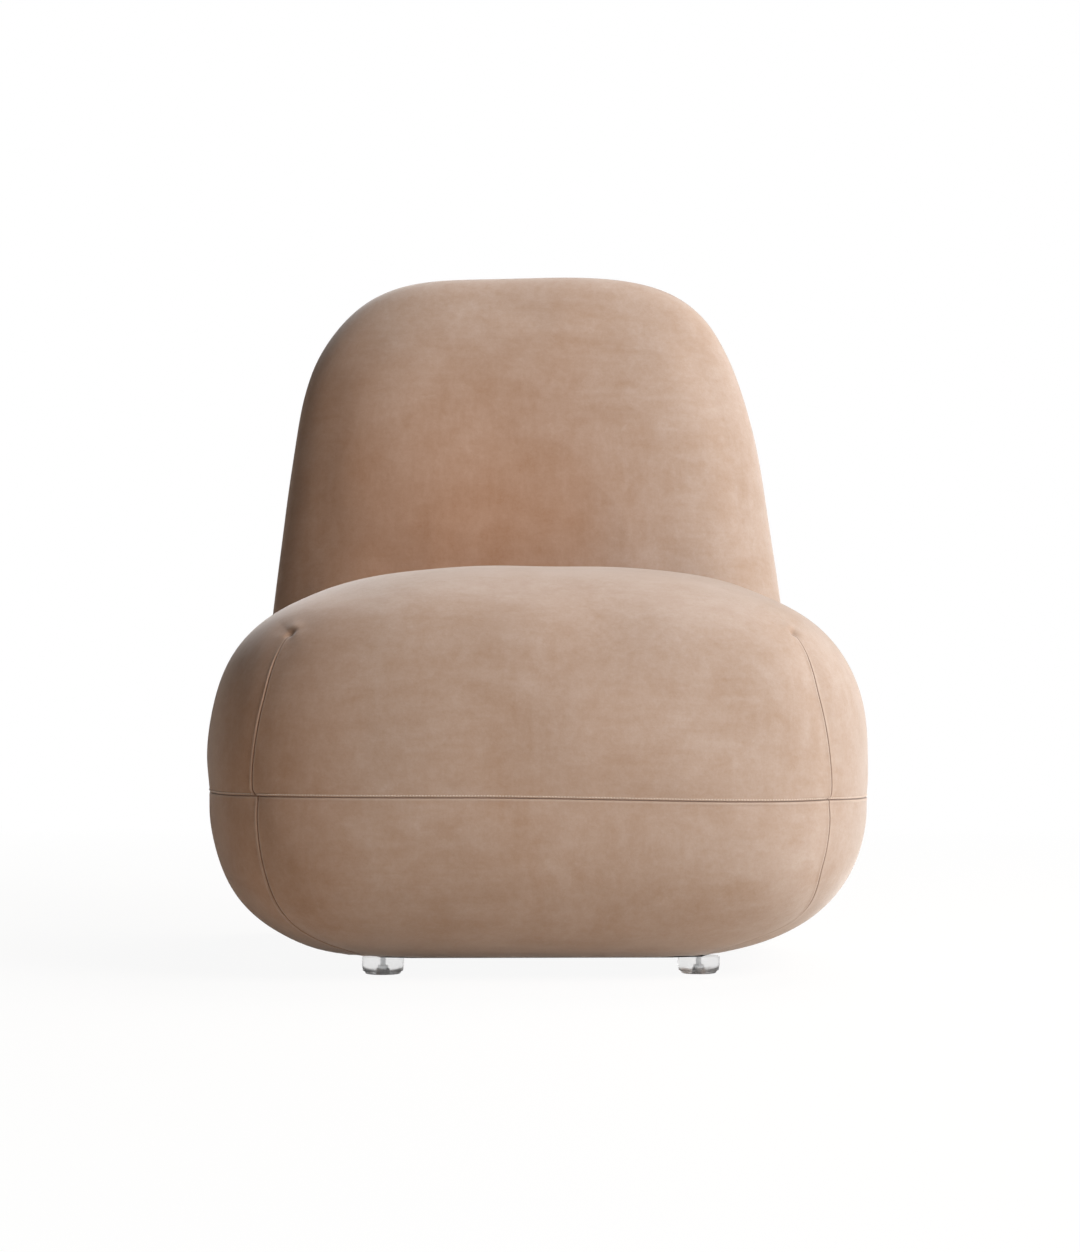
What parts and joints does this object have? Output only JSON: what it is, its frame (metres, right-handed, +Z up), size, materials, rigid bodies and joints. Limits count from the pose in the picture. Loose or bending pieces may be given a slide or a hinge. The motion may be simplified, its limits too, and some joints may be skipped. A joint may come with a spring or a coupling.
{
  "type": "armless leather lounge chair",
  "caption": "Armless lounge chair: a deep pillow-shaped leather seat and a rounded leather back that narrows upward, built over bolted timber frames and standing on low round glides.",
  "frame": {"origin": "on the floor, under the middle of the bounding box", "axes": "+Z up; the seat's nose points to -Y and the back is at +Y; +X is on the right as seen from the front"},
  "size_m": [0.6996, 0.8554, 0.8018],
  "materials": {
    "leather": "matte nubuck, pale tan",
    "foam": "cut foam with a fleece wrap",
    "plywood": "raw birch plywood",
    "webbing": "woven elastic webbing",
    "dust_cloth": "black nonwoven cloth",
    "glide": "satin grey nylon",
    "steel": "zinc plated"
  },
  "bodies": {
    "root": {"back_block_left": "plywood", "back_block_right": "plywood", "back_bolt_1": "steel", "back_bolt_2": "steel", "back_bolt_3": "steel", "back_bolt_4": "steel", "back_cover_front": "leather", "back_cover_rear": "leather", "back_dust_cover": "dust_cloth", "back_foam_front": "foam", "back_foam_rear": "foam", "back_middle_rail": "plywood", "back_mount_board": "plywood", "back_post_left": "plywood", "back_post_right": "plywood", "back_strap_1": "webbing", "back_strap_2": "webbing", "back_strap_3": "webbing", "back_strap_4": "webbing", "back_top_rail": "plywood", "glide_front_left": "glide", "glide_front_right": "glide", "glide_rear_left": "glide", "glide_rear_right": "glide", "glide_screw_front_left": "steel", "glide_screw_front_right": "steel", "glide_screw_rear_left": "steel", "glide_screw_rear_right": "steel", "seat_block_front_left": "plywood", "seat_block_front_right": "plywood", "seat_block_rear_left": "plywood", "seat_block_rear_right": "plywood", "seat_cover_front": "leather", "seat_cover_left": "leather", "seat_cover_rear": "leather", "seat_cover_right": "leather", "seat_cover_top": "leather", "seat_cross_rail": "plywood", "seat_dust_cover": "dust_cloth", "seat_foam_front": "foam", "seat_foam_left": "foam", "seat_foam_rear": "foam", "seat_foam_right": "foam", "seat_foam_top": "foam", "seat_panel_front": "plywood", "seat_panel_left": "plywood", "seat_panel_rear": "plywood", "seat_panel_right": "plywood", "seat_strap_cross_1": "webbing", "seat_strap_cross_2": "webbing", "seat_strap_cross_3": "webbing", "seat_strap_cross_4": "webbing", "seat_strap_long_1": "webbing", "seat_strap_long_2": "webbing", "seat_strap_long_3": "webbing"}
  },
  "joints": []
}
